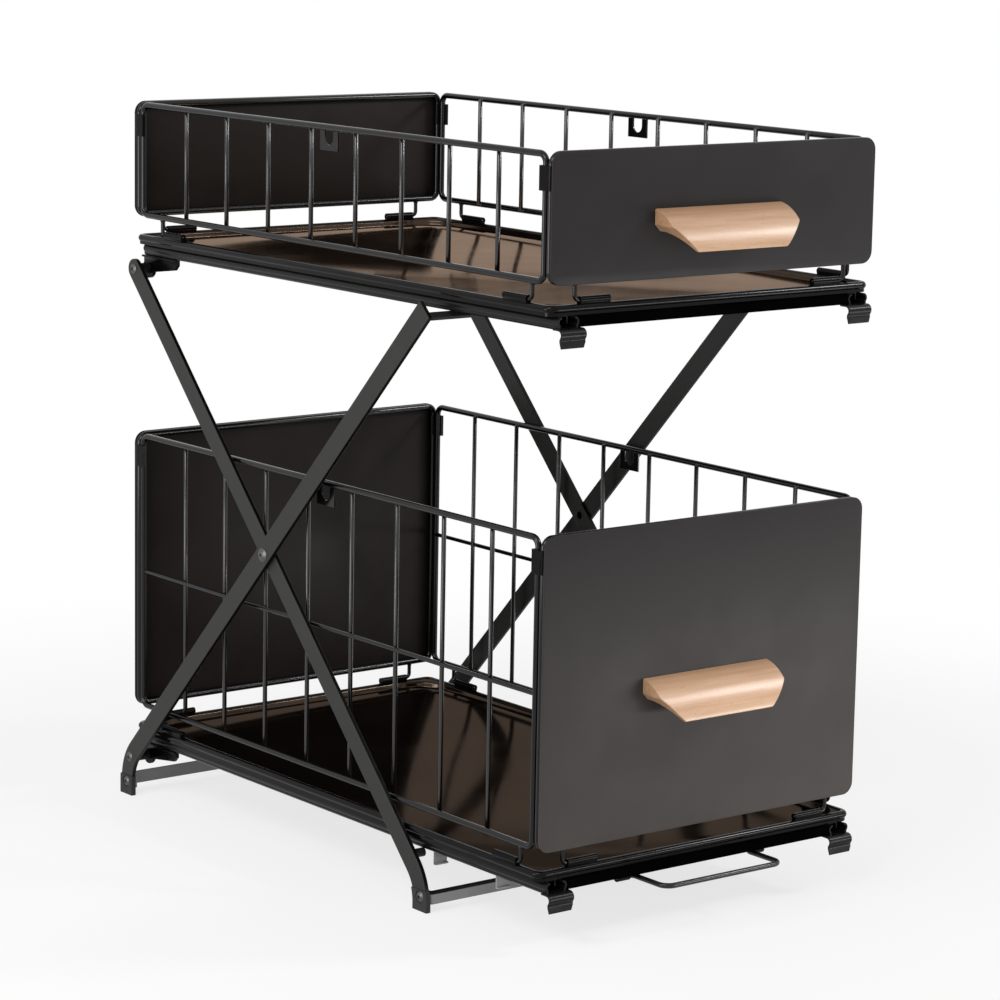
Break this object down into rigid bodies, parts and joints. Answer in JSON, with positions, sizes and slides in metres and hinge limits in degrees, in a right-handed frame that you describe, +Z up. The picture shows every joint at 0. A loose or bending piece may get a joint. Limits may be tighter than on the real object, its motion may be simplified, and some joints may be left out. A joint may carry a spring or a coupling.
{
  "type": "pull out cabinet basket",
  "caption": "Folding cabinet rack with crossing legs that carries a shallow and a deep pull-out basket on ball slides, with wooden handles and fold-down wire sides.",
  "frame": {"origin": "middle of the plan on the floor plane under the foot caps", "axes": "-Y toward the user, the way the baskets pull out; +X to the right seen from the front; +Z up"},
  "size_m": [0.2422, 0.4266, 0.4235],
  "materials": {
    "black_steel": "satin",
    "grey_steel": "satin",
    "panel_sheet": "matt",
    "tray_steel": "gloss",
    "wire_steel": "gloss",
    "zinc_steel": "satin",
    "bearing_steel": "polished",
    "beech": "satin",
    "foot_rubber": "matt"
  },
  "bodies": {
    "lower_rack": {"lower_rail_left": "black_steel", "lower_rail_right": "black_steel", "lower_front_member": "black_steel", "lower_rear_member": "black_steel", "lower_hinge_brackets": "black_steel", "stand_knuckles": "black_steel"},
    "front_stand": {"swing_stand": "grey_steel"},
    "outer_legs": {"outer_leg_left": "grey_steel", "outer_leg_right": "grey_steel", "outer_top_crossbar": "grey_steel", "outer_foot_crossbar": "grey_steel", "outer_foot_caps": "foot_rubber", "outer_foot_rivets": "zinc_steel", "lower_hinge_rivets": "zinc_steel"},
    "inner_legs": {"inner_leg_left": "grey_steel", "inner_leg_right": "grey_steel", "inner_foot_crossbar": "grey_steel", "inner_foot_caps": "foot_rubber", "inner_foot_rivets": "zinc_steel", "centre_rivets": "zinc_steel", "support_studs": "grey_steel"},
    "upper_rack": {"upper_rail_left": "black_steel", "upper_rail_right": "black_steel", "upper_front_member": "black_steel", "upper_rear_member": "black_steel", "upper_hinge_brackets": "black_steel", "upper_hinge_rivets": "zinc_steel"},
    "lower_drawer": {"lower_tray": "tray_steel", "lower_slide_runners": "zinc_steel", "lower_panel_knuckles": "black_steel", "lower_front_frame": "wire_steel", "lower_front_sheet": "panel_sheet", "lower_back_frame": "wire_steel", "lower_back_sheet": "panel_sheet", "lower_corner_clips": "black_steel", "lower_handle": "beech", "lower_handle_screws": "zinc_steel"},
    "lower_grille_left": {"lower_left_grille": "wire_steel", "lower_left_hang_plate": "wire_steel"},
    "lower_grille_right": {"lower_right_grille": "wire_steel", "lower_right_hang_plate": "wire_steel"},
    "lower_cages": {"lower_ball_cages": "zinc_steel", "lower_slide_balls": "bearing_steel"},
    "upper_drawer": {"upper_tray": "tray_steel", "upper_slide_runners": "zinc_steel", "upper_panel_knuckles": "black_steel", "upper_front_frame": "wire_steel", "upper_front_sheet": "panel_sheet", "upper_back_frame": "wire_steel", "upper_back_sheet": "panel_sheet", "upper_corner_clips": "black_steel", "upper_handle": "beech", "upper_handle_screws": "zinc_steel"},
    "upper_grille_left": {"upper_left_grille": "wire_steel", "upper_left_hang_plate": "wire_steel"},
    "upper_grille_right": {"upper_right_grille": "wire_steel", "upper_right_hang_plate": "wire_steel"},
    "upper_cages": {"upper_ball_cages": "zinc_steel", "upper_slide_balls": "bearing_steel"}
  },
  "joints": [
    {"name": "lower_slide", "type": "slide", "parent": "lower_rack", "child": "lower_drawer", "axis": [0, -1, 0], "range_m": [0, 0.28]},
    {"name": "lower_cage_roll", "type": "slide", "parent": "lower_rack", "child": "lower_cages", "axis": [0, -1, 0], "range_m": [0, 0.14]},
    {"name": "upper_slide", "type": "slide", "parent": "upper_rack", "child": "upper_drawer", "axis": [0, -1, 0], "range_m": [0, 0.28]},
    {"name": "upper_cage_roll", "type": "slide", "parent": "upper_rack", "child": "upper_cages", "axis": [0, -1, 0], "range_m": [0, 0.14]},
    {"name": "leg_fold", "type": "hinge", "parent": "lower_rack", "child": "outer_legs", "pos_m": [0, 0.20331, 0.024], "axis": [1, 0, 0], "range_deg": [0, 15]},
    {"name": "leg_cross", "type": "hinge", "parent": "outer_legs", "child": "inner_legs", "pos_m": [0, 0.05931, 0.174], "axis": [1, 0, 0], "range_deg": [-30, 0]},
    {"name": "upper_hinge", "type": "hinge", "parent": "inner_legs", "child": "upper_rack", "pos_m": [0, 0.20331, 0.324], "axis": [1, 0, 0], "range_deg": [0, 15]},
    {"name": "stand_swing", "type": "hinge", "parent": "lower_rack", "child": "front_stand", "pos_m": [0, -0.18319, 0.03032], "axis": [1, 0, 0], "range_deg": [0, 88]},
    {"name": "lower_left_fold", "type": "hinge", "parent": "lower_drawer", "child": "lower_grille_left", "pos_m": [-0.1107, 0.00881, 0.0463], "axis": [0, 1, 0], "range_deg": [0, 90]},
    {"name": "lower_right_fold", "type": "hinge", "parent": "lower_drawer", "child": "lower_grille_right", "pos_m": [0.1107, 0.00881, 0.0463], "axis": [0, -1, 0], "range_deg": [0, 81]},
    {"name": "upper_left_fold", "type": "hinge", "parent": "upper_drawer", "child": "upper_grille_left", "pos_m": [-0.1107, 0.00881, 0.3463], "axis": [0, 1, 0], "range_deg": [0, 90]},
    {"name": "upper_right_fold", "type": "hinge", "parent": "upper_drawer", "child": "upper_grille_right", "pos_m": [0.1107, 0.00881, 0.3463], "axis": [0, -1, 0], "range_deg": [0, 90]}
  ],
  "couplings": [
    {"joint": "lower_cage_roll", "follows": "lower_slide", "ratio": 0.5},
    {"joint": "upper_cage_roll", "follows": "upper_slide", "ratio": 0.5},
    {"joint": "leg_cross", "follows": "leg_fold", "ratio": -2},
    {"joint": "upper_hinge", "follows": "leg_fold", "ratio": 1}
  ]
}
